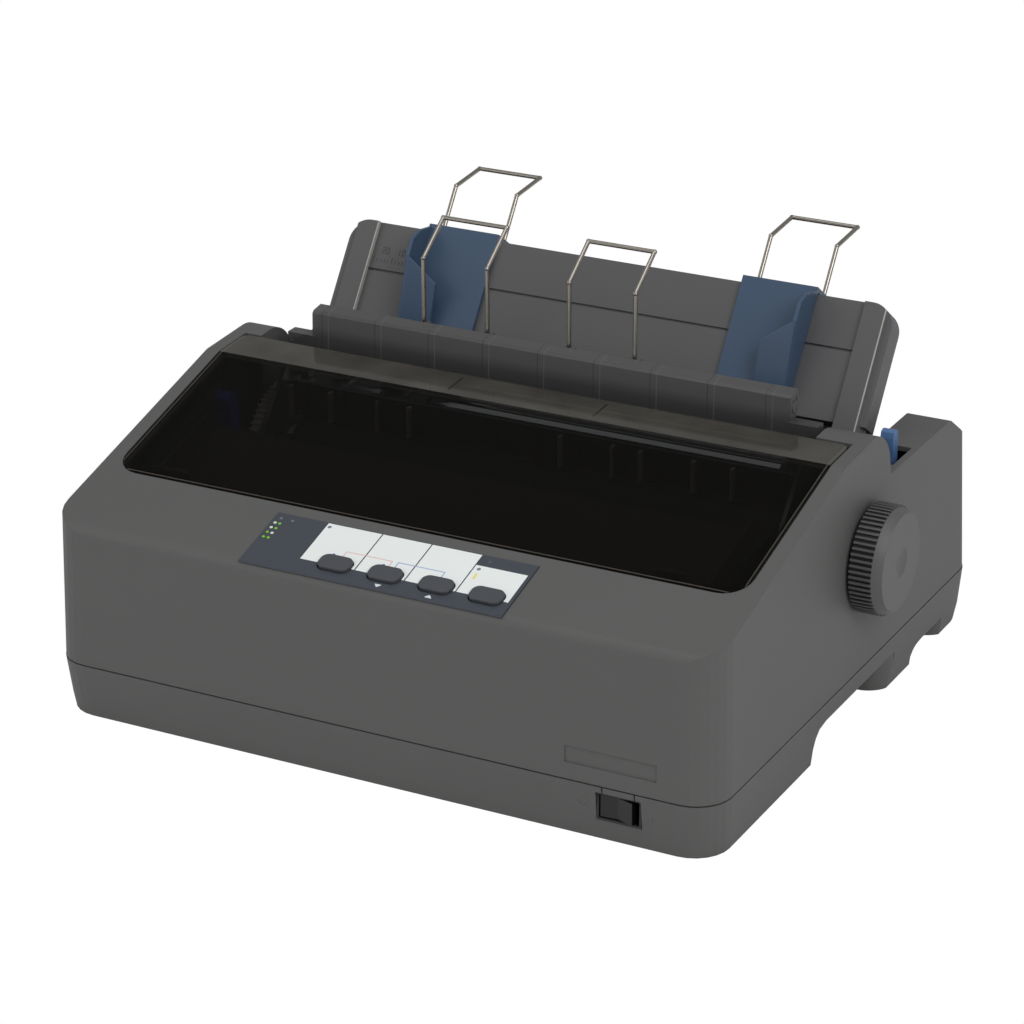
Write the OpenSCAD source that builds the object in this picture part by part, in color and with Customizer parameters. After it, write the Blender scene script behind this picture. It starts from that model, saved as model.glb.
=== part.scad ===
// Dot matrix printer: a desktop 80-column impact printer with a hinged smoked cover,
// a rear tractor bay, a folding paper support and a tear-off tension unit.
// Millimetres, +Z up, the front faces -Y. The knob is on the +X side.

/* [Body] */
// Width of the case at its parting line
body_w = 335; // [330:1:338]
// Depth of the case at its parting line
body_d = 298; // [296:1:300]
// Height of the line where the upper and lower cases meet
parting_z = 27; // [26.5:0.5:27.5]
// Height of the front wall's top edge
front_top_z = 95.5; // [95:0.5:96]
// Height of the bend behind the sloping front
bend_z = 133.5; // [133:0.5:134]
// Height of the rear deck beside the paper bay
deck_z = 111; // [110.5:0.5:111.5]
// Thickness of the moulded walls
wall = 2.5; // [2.3:0.1:2.6]

/* [Cover] */
// Half width of the smoked cover
cover_half_w = 157.8; // [157:0.1:158]
// Thickness of the smoked cover
cover_t = 2.2; // [2:0.1:2.4]
// Gap round the smoked cover
cover_gap = 0.6; // [0.5:0.1:0.8]

/* [Paper path] */
// Radius of the rubber platen
platen_r = 14; // [13.6:0.1:14]
// Half length of the rubber platen
platen_half = 128; // [126:1:129]
// Radius of the paper knob
knob_r = 25.6; // [25:0.1:26]
// How far the paper knob stands out of the case
knob_reach = 15.3; // [15:0.1:16]
// Lean of the paper support from upright
support_lean = 35.5; // [35:0.5:36]
// Half width of the paper support
support_half_w = 144.4; // [144:0.1:145]

/* [Mechanism] */
// Module of the paper feed gears
gear_m = 1; // [1:1:1]
// Radius of the carriage shaft
rail_r = 4; // [3.9:0.1:4.1]
// Half length of the timing belt between its pulleys
belt_half = 112; // [111:1:112]
// Pitch radius of the timing belt pulleys
pulley_r = 6; // [5.8:0.1:6.2]

/* [Wires] */
// Radius of the bent steel wires
wire_r = 1.05; // [1:0.05:1.15]
// Distance between the two legs of a wire
wire_gap = 34; // [33:0.5:34]

/* [Hidden] */
$fn = 48;

half_w = body_w / 2;
half_d = body_d / 2;
// the origin is under the middle of the whole object, knob and rear wires included
shift = [-knob_reach / 2, -1, 0];

// case outline in side view
front_y = -half_d + 1;
bend_y = -11.3;
slope = atan((bend_z - front_top_z) / (bend_y - front_y));
crown_z = bend_z + 1.7;
crown_r = 20;
crown_y = 22;
bevel_y = 117;
rear_top_y = half_d - 7;
rear_top_z = deck_z - 15;
rear_lean = (half_d - rear_top_y + 2) / (rear_top_z - parting_z);
round_r = 6;
plan_front_r = 17;
plan_rear_r = 13;

// cover opening
cover_front_y = -104.9;
cover_rear_y = 11.2;
open_half_w = cover_half_w + cover_gap;
bay_half_w = 144;
throat_left = 149.5;
throat_right = 140.5;
bay_front_y = 45;
sill_z = 72;

// axes, as [y, z]
platen_axis = [15, 81.3];
pinion_axis = [platen_axis[0], platen_axis[1] - 36 * gear_m];
idler_axis = [platen_axis[0] + 42 * gear_m, platen_axis[1]];
tractor_axis = [platen_axis[0] + 73 * gear_m, platen_axis[1]];
rail_axis = [-36, 58];
tractor_bar_axis = [110, 77];
cover_axis = [8.6, 131.6];
tension_axis = [24, 117];
support_axis = [68.5, 114.5];
release_axis = [68, 78];
thickness_axis = [-24, 84];
belt_y = -44;
belt_z = 43;

gear_x = -142.5;
gear_w = 5;
plate_x = 134;
plate_t = 2;
print_y = platen_axis[0] - platen_r;

// control panel
panel_y = -105;
button_s = -33.2;
button_x = [-21.7, 3.3, 28.6, 53.2];
overlay_s = [-43.5, -7.2];
overlay_half_w = 65.5;
switch_x = 121.8;
switch_z = 17.4;

function slope_z(y) = front_top_z + (y - front_y) * tan(slope);

// points of a rectangle with its own corner radii at the front and the rear
function corner(cx, cy, r, a0) =
    [for (a = [0 : 15 : 90]) [cx + r * cos(a0 + a), cy + r * sin(a0 + a)]];
function plan(w, y0, y1, rf, rr) = concat(
    corner(w - rr, y1 - rr, rr, 0), corner(-w + rr, y1 - rr, rr, 90),
    corner(-w + rf, y0 + rf, rf, 180), corner(w - rf, y0 + rf, rf, 270));

// local x, y become y, z, and the extrusion runs along x from x0
module along_x(x0, len) {
    translate([x0, 0, 0]) rotate([90, 0, 90]) linear_extrude(len) children();
}
module rod_x(x0, x1, axis, r) {
    translate([x0, axis[0], axis[1]]) rotate([0, 90, 0]) cylinder(h = x1 - x0, r = r);
}
// local x across, y up the slope of the front, z out of it
module on_slope() {
    translate([0, panel_y, slope_z(panel_y)]) rotate([slope, 0, 0]) children();
}
// local x across, y up the paper support, z out of its front
module on_support() {
    translate([0, support_axis[0], support_axis[1]]) rotate([90 - support_lean, 0, 0]) children();
}
module slab(z, w, y0, y1) {
    translate([0, 0, z]) linear_extrude(0.1) polygon(plan(w, y0, y1, plan_front_r, plan_rear_r));
}
module block(x0, x1, y0, y1, z0, z1) {
    translate([x0, y0, z0]) cube([x1 - x0, y1 - y0, z1 - z0]);
}
module rod(a, b, r) {
    d = b - a;
    len = norm(d);
    translate(a) rotate([0, acos(d[2] / len), atan2(d[1], d[0])]) cylinder(h = len, r = r);
}
// a bent wire through a list of points, with ball elbows
module wire(pts) {
    for (i = [0 : len(pts) - 2]) rod(pts[i], pts[i + 1], wire_r);
    for (i = [1 : len(pts) - 2]) translate(pts[i]) sphere(r = wire_r + 0.15);
}
module spur(teeth, phase) {
    rp = gear_m * teeth / 2;
    pitch = 360 / teeth;
    polygon([for (i = [0 : teeth - 1]) for (k = [[-0.27, -1.2], [-0.11, 0.8], [0.11, 0.8], [0.27, -1.2]])
        let (a = phase + (i + k[0]) * pitch, r = rp + k[1] * gear_m) [r * cos(a), r * sin(a)]]);
}

// ---- case ----

module side_outline() {
    polygon(concat(
        [[-half_d, 0], [-half_d, parting_z], [front_y, front_top_z], [bend_y, bend_z]],
        [for (a = [90 : -7.5 : 0]) [crown_y + crown_r * cos(a), crown_z - crown_r + crown_r * sin(a)]],
        [[crown_y + crown_r + 0.6, deck_z], [bevel_y, deck_z], [rear_top_y - 3, rear_top_z],
         [half_d, parting_z], [half_d, 0]]));
}
module case_solid(inset) {
    intersection() {
        hull() {
            slab(parting_z - 6, half_w - inset, -half_d + inset, half_d - inset);
            slab(136, half_w - 2.5 - inset, -half_d + 1.6 + inset, half_d - 7.3 - inset);
        }
        along_x(-half_w, body_w) offset(delta = -inset) offset(r = round_r) offset(delta = -round_r)
            side_outline();
    }
}
module cover_plan(grow) {
    polygon(plan(cover_half_w + grow, cover_front_y - grow, cover_rear_y + grow, 12 + grow, 4.5));
}
module cover_opening(grow) {
    polygon(plan(cover_half_w + grow, cover_front_y - grow, 13.2, 12 + grow, 0.5));
}
module throat_plan() {
    translate([-throat_left, cover_rear_y - 3])
        square([throat_left + throat_right, bay_front_y - cover_rear_y + 3]);
    translate([-bay_half_w, bay_front_y - 1]) square([2 * bay_half_w, half_d]);
}
// a layer between two depths under the front slope and the crown, for y up to y1
module layer(top, bottom, y1) {
    c = 1 / cos(slope);
    along_x(-half_w, body_w) polygon([[-120, slope_z(-120) - top * c], [bend_y, bend_z - top * c],
        [y1, bend_z - top], [y1, bend_z - bottom], [bend_y, bend_z - bottom * c],
        [-120, slope_z(-120) - bottom * c]]);
}
// hand and cable arches: front end, rear end, height, radius of the leg's outer corner
arches = [[-41.3, 40, 17.6, 13], [76.5, 109, 9.6, 16]];
// the space of the right side's arches, or that space grown by g
module arch_void(g) {
    for (a = arches) intersection() {
        along_x(half_w - 28 - g, 34) offset(delta = g) polygon([[a[0], -3], [a[0] + 0.3, a[2] * 0.5],
            [a[0] + 2.4, a[2] * 0.75], [a[0] + 6, a[2] * 0.93], [a[0] + 13, a[2]], [a[1] + a[3], a[2]],
            [a[1] + a[3], -3]]);
        translate([0, 0, -2]) linear_extrude(40) difference() {
            translate([half_w - 30, a[0] - 5]) square([36, a[1] + a[3] - a[0] + 5]);
            translate([half_w - 31, a[1] + g]) square([17, 40]);
            translate([half_w - 14, a[1] + a[3]]) circle(r = a[3] - g);
        }
    }
}
module lower_outer() hull() {
    slab(parting_z - 0.1, half_w, -half_d, half_d);
    slab(9, half_w - 1.2, -half_d + 2.2, half_d - 2);
    slab(0.8, half_w - 2.1, -half_d + 3.4, half_d - 5);
}

module lower_case() color("#545454") {
    floor_z = 3;
    difference() {
        lower_outer();
        // inside, above the floor
        hull() {
            slab(parting_z + 0.1, half_w - wall, -half_d + wall, half_d - wall);
            slab(floor_z + wall, half_w - 2.2 - wall, -half_d + 3.4 + wall, half_d - 6.5);
        }
        // shallow space under the floor
        translate([0, 0, -1]) linear_extrude(floor_z + 1)
            polygon(plan(half_w - 5, -half_d + 4.4 + wall, half_d - 8, 20, 12));
        // arched cut-outs in both sides
        arch_void(0);
        mirror([1, 0, 0]) arch_void(0);
        // power switch opening and its two slits up to the parting line
        block(switch_x - 10.8, switch_x + 10.8, -half_d - 1, -half_d + 12, switch_z - 6.8, switch_z + 6.8);
        for (x = [-7.9, 7.5]) block(switch_x + x, switch_x + x + 0.7, -half_d - 1, -half_d + 1.4,
            switch_z + 6.7, parting_z + 1);
        for (p = screw_places) translate([p[0], p[1], -1]) {
            cylinder(h = 6.4, r = 3.9);
            cylinder(h = 20, r = 2.1);
        }
    }
    // liners that close the side arches towards the inside
    for (s = [0, 1]) mirror([s, 0, 0]) difference() {
        intersection() {
            arch_void(2);
            lower_outer();
        }
        arch_void(0);
    }
    // pillars for the case screws and posts for the chassis
    for (p = screw_places) translate([p[0], p[1], floor_z]) difference() {
        cylinder(h = parting_z - floor_z - 0.1, r = 6);
        translate([0, 0, -1]) cylinder(h = 30, r = 2.1);
        translate([0, 0, -1]) cylinder(h = 3.4, r = 3.9);
    }
    for (x = [-120, 120], y = [-62, 58]) translate([x, y, floor_z + 1]) cylinder(h = 3.9, r = 5);
}
screw_places = [[-150, -126], [150, -126], [-150, 126], [150, 126]];

module upper_case() color("#5a5a5a") {
    difference() {
        case_solid(0);
        difference() {
            case_solid(wall);
            // walls round the paper throat and the rear bay
            translate([0, 0, 56]) linear_extrude(90) intersection() {
                difference() {
                    offset(delta = wall) throat_plan();
                    throat_plan();
                }
                translate([-half_w, 13.4]) square([body_w, body_d]);
            }
            // blocks that carry the cover hinge pins
            for (s = [-1, 1]) block(s * 161 - 2.6, s * 161 + 2.6, 3.6, 13, 126.5, 140);
            // pillars for the case screws, tied to the side walls
            for (p = screw_places) {
                translate([p[0], p[1], parting_z]) cylinder(h = 34, r = 4.4);
                block(p[0] > 0 ? p[0] : -half_w, p[0] > 0 ? half_w : p[0], p[1] - 1, p[1] + 1, 29, 60);
            }
            // ledge that the cover rests on
            intersection() {
                translate([0, 0, 90]) linear_extrude(50) difference() {
                    cover_plan(3);
                    cover_plan(-2.2);
                }
                layer(1, 5.2, 0);
            }
        }
        block(-half_w - 1, half_w + 1, -half_d - 1, half_d + 1, 0, parting_z);
        // shadow line where the two cases meet
        difference() {
            block(-half_w - 1, half_w + 1, -half_d - 1, half_d + 1, parting_z - 1, parting_z + 0.6);
            case_solid(0.8);
        }
        // opening for the cover, down to the ledge and then through
        intersection() {
            translate([0, 0, 90]) linear_extrude(60) cover_opening(cover_gap);
            layer(-9, 2.8, 20);
        }
        translate([0, 0, 90]) linear_extrude(60) cover_opening(-2.2);
        translate([0, 0, 90]) linear_extrude(60) translate([-open_half_w, 0]) square([2 * open_half_w, 13.2]);
        // open throat and rear bay
        translate([0, 0, sill_z]) linear_extrude(90) throat_plan();
        for (s = [-1, 1]) rod_x(s * 160 - 2, s * 160 + 2, cover_axis, 1.22);
        // slot for the release lever
        block(147.8, 162.4, 53, 76, deck_z - 12, deck_z + 30);
        // buttons, lamps, overlay and knob shaft
        on_slope() {
            for (x = button_x) translate([x, button_s, -5]) linear_extrude(10) key_outline(0.5);
            translate([-overlay_half_w - 0.2, overlay_s[0] - 0.2, -0.4])
                cube([2 * overlay_half_w + 0.4, overlay_s[1] - overlay_s[0] + 0.4, 3]);
            for (p = lamp_places) translate([p[0], p[1], -5]) cylinder(h = 10, r = 0.95);
        }
        rod_x(throat_right - 1, half_w + 2, platen_axis, 6);
        rod_x(bay_half_w - 1, bay_half_w + wall + 1, release_axis, 2.02);
        for (p = screw_places) translate([p[0], p[1], 0]) cylinder(h = 48, r = 1.7);
        // shallow bare plate on the front
        block(96.3, 139.8, -half_d - 1, -half_d + 0.75, 35.4, 43.2);
        // rear openings for the mains inlet and the interface ports
        block(inlet_x - 14.2, inlet_x + 14.2, half_d - 8, half_d + 2, 32.8, 53.2);
        for (p = ports) block(p[0] - p[1] / 2 - 0.3, p[0] + p[1] / 2 + 0.3, half_d - 8, half_d + 2,
            36.7, 37.3 + p[2]);
    }
    // ears for the paper support's pins
    for (s = [-1, 1]) difference() {
        union() {
            block(s * 143 - 1.6, s * 143 + 1.6, support_axis[0] - 2.8, support_axis[0] + 2.8,
                100, support_axis[1]);
            rod_x(s * 143 - 1.6, s * 143 + 1.6, support_axis, 2.8);
        }
        rod_x(s * 143 - 2, s * 143 + 2, support_axis, 1.62);
    }
}
inlet_x = 112;
// interface ports on the rear, as [centre x, width, height]
ports = [[-90, 68, 13], [-30, 32, 10.6], [8, 13, 11.4]];
lamp_places = [for (s = [-25, -21.5, -18, -14.5]) for (x = [-63.1, -60.7]) [x, s]];

module key_outline(grow) {
    offset(r = 3.6 + grow) square([8.4, 2.2], center = true);
}

module rubber_feet() color("#1c1c1c") {
    for (x = [-138, 138], y = [-128, 122]) translate([x, y, 0]) cylinder(h = 3, r = 8);
    for (x = [-138, 138]) translate([x, 50, 0]) cylinder(h = 3, r = 6);
}

module case_screws() color("silver") {
    for (p = screw_places) translate([p[0], p[1], 2.8]) difference() {
        union() {
            cylinder(h = 2.6, r = 3.6);
            translate([0, 0, 2.6]) cylinder(h = 34, r = 1.6);
        }
        for (a = [0, 90]) rotate(a) translate([0, 0, -0.1]) cube([4, 0.9, 2.4], center = true);
    }
}

// ---- frame of the mechanism ----

module chassis_plate() color("#a8abad") {
    z = 7.9;
    difference() {
        block(-plate_x - plate_t, plate_x + plate_t, -70, 72, z, z + 1.6);
        for (x = [-120, 120], y = [-62, 58]) translate([x, y, 0]) cylinder(h = 20, r = 2);
        for (x = [-80, 0, 80]) translate([x, 50, 0]) cylinder(h = 20, r = 8);
    }
    for (y = [-70, 70.4]) block(-plate_x + 0.1, plate_x - 0.1, y, y + 1.6, z, z + 8);
    // post that carries the idle belt pulley
    translate([belt_half, belt_y, z + 1]) {
        cylinder(h = belt_z - z - 2, r = 5);
        cylinder(h = belt_z + 7 - z, r = 2.5);
    }
}

module side_plate(x) {
    difference() {
        along_x(x, plate_t) polygon([[-68, 9.5], [-68, 62], [-92, 74], [-92, 82], [-68, 82], [-60, 70],
            [-34, 70], [-32, 90], [-16, 90], [-10, 100], [12, 124], [32, 124], [38, 100], [50, 93],
            [122, 93], [122, 66], [72, 58], [72, 9.5]]);
        rod_x(x - 1, x + plate_t + 1, platen_axis, 7.02);
        rod_x(x - 1, x + plate_t + 1, rail_axis, rail_r + 0.02);
        rod_x(x - 1, x + plate_t + 1, tractor_axis, 3.05);
        rod_x(x - 1, x + plate_t + 1, tractor_bar_axis, 3.02);
        rod_x(x - 1, x + plate_t + 1, pinion_axis, 5);
        rod_x(x - 1, x + plate_t + 1, idler_axis, 2.02);
        rod_x(x - 1, x + plate_t + 1, tension_axis, 3.02);
        rod_x(x - 1, x + plate_t + 1, thickness_axis, 2.02);
        for (y = [-50, 50]) rod_x(x - 1, x + plate_t + 1, [y, 30], 9);
    }
}
module side_plate_left() color("#a8abad") side_plate(-plate_x - plate_t);
module side_plate_right() color("#a8abad") side_plate(plate_x);

module platen_bushes() color("#e6e2d6") {
    for (s = [-1, 1]) difference() {
        union() {
            rod_x(s * (plate_x + 1) - 1, s * (plate_x + 1) + 1, platen_axis, 7);
            rod_x(s * (plate_x - 1) - 1, s * (plate_x - 1) + 1, platen_axis, 9);
        }
        rod_x(s * plate_x - 4, s * plate_x + 4, platen_axis, 4.05);
    }
}

module guide_shafts() color("#cfd2d4") {
    rod_x(-plate_x - 4, plate_x + 4, rail_axis, rail_r);
    rod_x(-plate_x - 2.5, plate_x + 2.5, tractor_bar_axis, 3);
}

module carriage_rail() color("#a8abad") {
    block(-plate_x, plate_x, -67, -57, 61, 62.5);
    block(-plate_x, plate_x, -68.5, -67, 50, 62.5);
}

module paper_guide() color("#2a2a2b") {
    block(-plate_x + 0.2, plate_x - 0.2, 14, 16, 97, 114);
    block(-plate_x + 0.2, plate_x - 0.2, 16, 30, 97, 98.8);
    for (x = [-126 : 21 : 126]) block(x - 0.8, x + 0.8, 11.5, 14, 97, 112.5);
}

module rear_tray() color("#333335") {
    block(-bay_half_w + 0.2, bay_half_w - 0.2, 74, 141.2, 57, 59);
    block(-bay_half_w + 0.2, bay_half_w - 0.2, 138.2, 139.8, 59, 69);
    for (x = [-112 : 28 : 112]) block(x - 1, x + 1, 76, 139, 59, 62);
}

module stepper(r, len) {
    cylinder(h = len, r = r);
    difference() {
        hull() for (x = [-r - 3, r + 3]) translate([x, 0, 0]) cylinder(h = 1.2, r = 5);
        for (x = [-r - 3, r + 3]) translate([x, 0, -1]) cylinder(h = 4, r = 1.8);
    }
}
module feed_motor() color("#b9bcbe") {
    translate([-plate_x, pinion_axis[0], pinion_axis[1]]) rotate([0, 90, 0]) rotate(90) stepper(21, 22);
    rod_x(-plate_x - 8.6, -plate_x, pinion_axis, 2.5);
}
module carriage_motor() color("#b9bcbe") {
    translate([-belt_half, belt_y, 9.5]) {
        cylinder(h = 29, r = 21);
        cylinder(h = 31.5, r = 8);
        cylinder(h = 40.5, r = 2.5);
    }
}

module belt_loop(r) {
    hull() for (x = [-belt_half, belt_half]) translate([x, belt_y]) circle(r = r);
}
module drive_belt() color("#202020") {
    translate([0, 0, belt_z]) linear_extrude(6) difference() {
        belt_loop(pulley_r + 1.4);
        belt_loop(pulley_r + 0.2);
    }
}

module main_board() color("#2f6b45") {
    block(-125, 125, 78, 138, 12, 13.6);
    block(-40, -10, 88, 118, 13.6, 17);
    block(20, 44, 92, 104, 13.6, 18);
    block(60, 78, 90, 114, 13.6, 28);
    for (p = [[-100, 90], [-84, 90], [-68, 92], [94, 96], [108, 96]]) translate([p[0], p[1], 13.6])
        cylinder(h = 14, r = 5);
    for (x = [-115, 115], y = [84, 120]) translate([x, y, 5.5]) cylinder(h = 6.5, r = 3);
}

module power_supply() color("#8c6f3f") {
    block(-138, -30, -134, -76, 12, 13.6);
    block(-132, -96, -128, -90, 13.6, 44);
    block(-88, -84, -128, -84, 13.6, 46);
    for (p = [[-72, -118], [-54, -118], [-72, -96]]) translate([p[0], p[1], 13.6]) cylinder(h = 26, r = 7.5);
    for (x = [-134, -36], y = [-130, -80]) translate([x, y, 5.5]) cylinder(h = 6.5, r = 3);
}

module ac_inlet() color("#161616") {
    x0 = inlet_x - 14;
    difference() {
        block(x0, x0 + 28, 122, half_d - 2.2, 33, 53);
        block(x0 + 2.5, x0 + 25.5, 130, half_d, 35.5, 50.5);
    }
    for (p = [[-7, 42], [0, 46], [7, 42]])
        block(inlet_x + p[0] - 1, inlet_x + p[0] + 1, 129, 144, p[1] - 2, p[1] + 2);
}

module interface_ports() color("#c4c7c9") {
    for (p = ports) {
        x0 = p[0] - p[1] / 2;
        difference() {
            block(x0, x0 + p[1], 126, half_d - 1.6, 37, 37 + p[2]);
            block(x0 + 1.2, x0 + p[1] - 1.2, half_d - 8, half_d, 38.2, 35.8 + p[2]);
        }
        block(x0 + 3, x0 + p[1] - 3, 130, half_d - 3.4, 37 + p[2] / 2 - 2.4, 37 + p[2] / 2 + 2.4);
        block(x0 - 2, x0 + p[1] + 2, 124, 126, 28, 52);
    }
}

// ---- control panel ----

module panel_board() color("#2f6b45") on_slope() {
    difference() {
        translate([-72, -43, -12]) cube([144, 38, 1.6]);
        for (x = [-68, 68]) translate([x, -24, -14]) cylinder(h = 6, r = 1.7);
    }
    for (x = button_x) translate([x - 3, button_s - 3, -10.4]) cube([6, 6, 3.4]);
    // posts that hang the board from the case
    for (x = [-68, 68]) translate([x, -24, -10.4]) difference() {
        cylinder(h = 7.9, r = 3.2);
        translate([0, 0, -1]) cylinder(h = 12, r = 1.7);
    }
}

module panel_overlay() color("#474d56") on_slope() {
    translate([0, 0, -0.4]) linear_extrude(0.8) difference() {
        translate([-overlay_half_w, overlay_s[0]]) square([2 * overlay_half_w, overlay_s[1] - overlay_s[0]]);
        for (x = button_x) translate([x, button_s]) key_outline(0.5);
        for (p = lamp_places) translate(p) circle(r = 0.95);
    }
}

module status_lights() color("#6fbf5a") on_slope() {
    for (p = lamp_places) translate([p[0], p[1], -10.4]) {
        cylinder(h = 10.9, r = 0.75);
        cylinder(h = 3, r = 1.1);
    }
}

module button_key(i) {
    on_slope() translate([button_x[i], button_s, 0]) {
        translate([0, 0, -4.2]) linear_extrude(6) key_outline(0);
        translate([0, 0, -5.8]) cylinder(h = 2, r = 2.4);
    }
}
module button_1() color("#4b5058") button_key(0);
module button_2() color("#4b5058") button_key(1);
module button_3() color("#4b5058") button_key(2);
module button_4() color("#4b5058") button_key(3);

rocker_y = -half_d + 10;
rocker_tilt = 7;
module switch_housing() color("#141414") {
    difference() {
        block(switch_x - 10.6, switch_x + 10.6, -half_d + 1.6, -half_d + 26, switch_z - 6.6, switch_z + 6.6);
        block(switch_x - 9.6, switch_x + 9.6, -half_d, -half_d + 21, switch_z - 5.6, switch_z + 5.6);
    }
    for (x = [-6, 6]) block(switch_x + x - 0.4, switch_x + x + 0.4, -half_d + 26, -half_d + 33,
        switch_z - 2.4, switch_z + 2.4);
    translate([switch_x, rocker_y, switch_z - 5.6]) cylinder(h = 11.2, r = 1);
}
module power_rocker() color("#101010") {
    translate([switch_x, rocker_y, switch_z]) rotate([0, 0, -rocker_tilt]) difference() {
        translate([0, 0, -5.2]) linear_extrude(10.4)
            polygon([[-8, -9], [0, -7.6], [8, -9], [8, -5], [4, 4], [-4, 4], [-8, -5]]);
        translate([0, 0, -6]) cylinder(h = 12, r = 1.05);
    }
}

// ---- paper feed ----

module platen_roller() color("#1b1b1c") difference() {
    rod_x(-platen_half, platen_half, platen_axis, platen_r);
    rod_x(-platen_half - 1, platen_half + 1, platen_axis, 4);
}
module platen_shaft() color("#cfd2d4") rod_x(-143.2, half_w + 8, platen_axis, 4);
module platen_gear() color("#e8e6df") difference() {
    along_x(gear_x, gear_w) translate(platen_axis) spur(60, 0);
    rod_x(gear_x - 1, gear_x + gear_w + 1, platen_axis, 4);
    for (a = [0 : 60 : 300]) rod_x(gear_x - 1, gear_x + gear_w + 1,
        platen_axis + 17 * [cos(a), sin(a)], 5);
}
module paper_knob() color("#4f4f50") difference() {
    union() {
        translate([half_w + 0.3, platen_axis[0], platen_axis[1]]) rotate([0, 90, 0])
            rotate_extrude($fn = 96) polygon([[0, 0], [knob_r - 0.7, 0], [knob_r - 0.9, 10.5],
                [knob_r - 1.7, 12.4], [knob_r - 3, knob_reach - 0.3], [0, knob_reach - 0.3]]);
        // grip ribs
        along_x(half_w + 0.3, 10.6) for (i = [0 : 59]) translate(platen_axis) rotate(i * 6)
            translate([knob_r - 1.2, -0.55]) square([1.2, 1.1]);
    }
    // shallow dish in the face and the blind bore for the shaft
    translate([half_w + knob_reach + 18.6, platen_axis[0], platen_axis[1]]) sphere(r = 20, $fn = 64);
    rod_x(half_w, half_w + 8, platen_axis, 4);
}
module feed_pinion() color("#d9c27a") difference() {
    along_x(gear_x, gear_w) translate(pinion_axis) spur(12, 15);
    rod_x(gear_x - 1, gear_x + gear_w + 1, pinion_axis, 2.55);
}
module idler_gear() color("#e8e6df") difference() {
    along_x(gear_x, gear_w) translate(idler_axis) spur(24, 7.5);
    rod_x(gear_x - 1, gear_x + gear_w + 1, idler_axis, 2.05);
}
module tractor_shaft() color("#cfd2d4") {
    block(-plate_x + 3, plate_x - 3, tractor_axis[0] - 2.8, tractor_axis[0] + 2.8,
        tractor_axis[1] - 2.8, tractor_axis[1] + 2.8);
    rod_x(-143.2, plate_x + 3, tractor_axis, 3);
    difference() {
        along_x(gear_x, gear_w) translate(tractor_axis) spur(38, 0);
        rod_x(gear_x - 1, gear_x + gear_w + 1, tractor_axis, 2.9);
    }
}

tractor_x = 108;
tractor_half = 9;
lid_z = 94;
module tractor_body(x) {
    difference() {
        union() {
            for (s = [-1, 1]) along_x(x + s * 7.5 - 1.5, 3) polygon([[68, 72], [68, 90], [72, 92.5],
                [116, 92.5], [120, 90], [120, 70], [104, 69], [76, 69]]);
            block(x - 9, x + 9, 98, 118, 70, 76);
            block(x - 9, x + 9, 68, 72, 72, 90);
        }
        rod_x(x - 20, x + 20, tractor_axis, 4.6);
        rod_x(x - 20, x + 20, tractor_bar_axis, 3.08);
    }
    // lid hinge pin carried by two ears on the outer cheek
    s = sign(x);
    for (y = [74, 110]) block(x + s * 7.5 - 1.5, x + s * 7.5 + 1.5, y - 2, y + 2, 92, lid_z + 1.6);
    translate([x + s * 7.5, 74, lid_z]) rotate([-90, 0, 0]) cylinder(h = 36, r = 0.8);
}
module tractor_left() color("#303033") tractor_body(-tractor_x);
module tractor_right() color("#303033") tractor_body(tractor_x);

module sprocket(x) {
    difference() {
        union() {
            rod_x(x - 4, x + 4, tractor_axis, 8);
            for (a = [0 : 45 : 315]) translate([x, tractor_axis[0], tractor_axis[1]]) rotate([a, 0, 0])
                translate([0, 0, 7]) cylinder(h = 3.4, r1 = 1.8, r2 = 1);
        }
        rod_x(x - 5, x + 5, tractor_axis, 4.1);
    }
}
module sprocket_left() color("#e8e6df") sprocket(-tractor_x);
module sprocket_right() color("#e8e6df") sprocket(tractor_x);

module tractor_lid(x) {
    s = sign(x);
    difference() {
        union() {
            block(x - 8.7 - s * 0.3, x + 8.7 - s * 0.3, 77, 107, lid_z - 0.6, lid_z + 1.4);
            translate([x + s * 7.5, 77, lid_z]) rotate([-90, 0, 0]) cylinder(h = 30, r = 1.4);
        }
        translate([x + s * 7.5, 70, lid_z]) rotate([-90, 0, 0]) cylinder(h = 50, r = 0.88);
        block(x - 2.4, x + 2.4, 76, 100, lid_z - 2, lid_z + 3);
    }
}
module tractor_lid_left() color("#3d3d40") tractor_lid(-tractor_x);
module tractor_lid_right() color("#3d3d40") tractor_lid(tractor_x);

// ---- printing ----

module print_carriage() color("#2b2b2d") {
    difference() {
        union() {
            block(-22, 22, -60, -26, 52, 66);
            block(-20, 20, -66.5, -60, 55, 60.4);
            block(-20, 20, -60, -26, 66, 68);
            block(-5, 5, -39.8, -35.2, 44, 52);
        }
        rod_x(-30, 30, rail_axis, rail_r + 0.05);
        block(-30, 30, -61, -56, 60.4, 63.1);
        block(-30, 30, belt_y + pulley_r - 0.2, belt_y + pulley_r + 1.8, belt_z - 0.6, belt_z + 6.6);
    }
}
module print_head() color("#7d8084") {
    head = [0, -24, platen_axis[1]];
    difference() {
        translate(head) rotate([90, 0, 0]) {
            cylinder(h = 26, r = 13.2);
            for (z = [3 : 4 : 23]) translate([0, 0, z]) cylinder(h = 1.6, r = 17);
        }
        block(-30, 30, -60, -20, 50, 68.2);
    }
    hull() {
        block(-7, 7, -24, -22, 74, 88);
        block(-3, 3, print_y - 2.6, print_y - 2.4, 76, 86);
    }
    block(-11, 11, -46, -28, 68, 72);
}
module pulley(x) {
    translate([x, belt_y, belt_z - 0.6]) difference() {
        union() {
            cylinder(h = 7.2, r = pulley_r - 0.1);
            cylinder(h = 0.5, r = pulley_r + 1.6);
        }
        translate([0, 0, -1]) cylinder(h = 10, r = 2.55);
    }
}
module belt_drive_pulley() color("#d9c27a") pulley(-belt_half);
module belt_idler_pulley() color("#e8e6df") pulley(belt_half);

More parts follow.
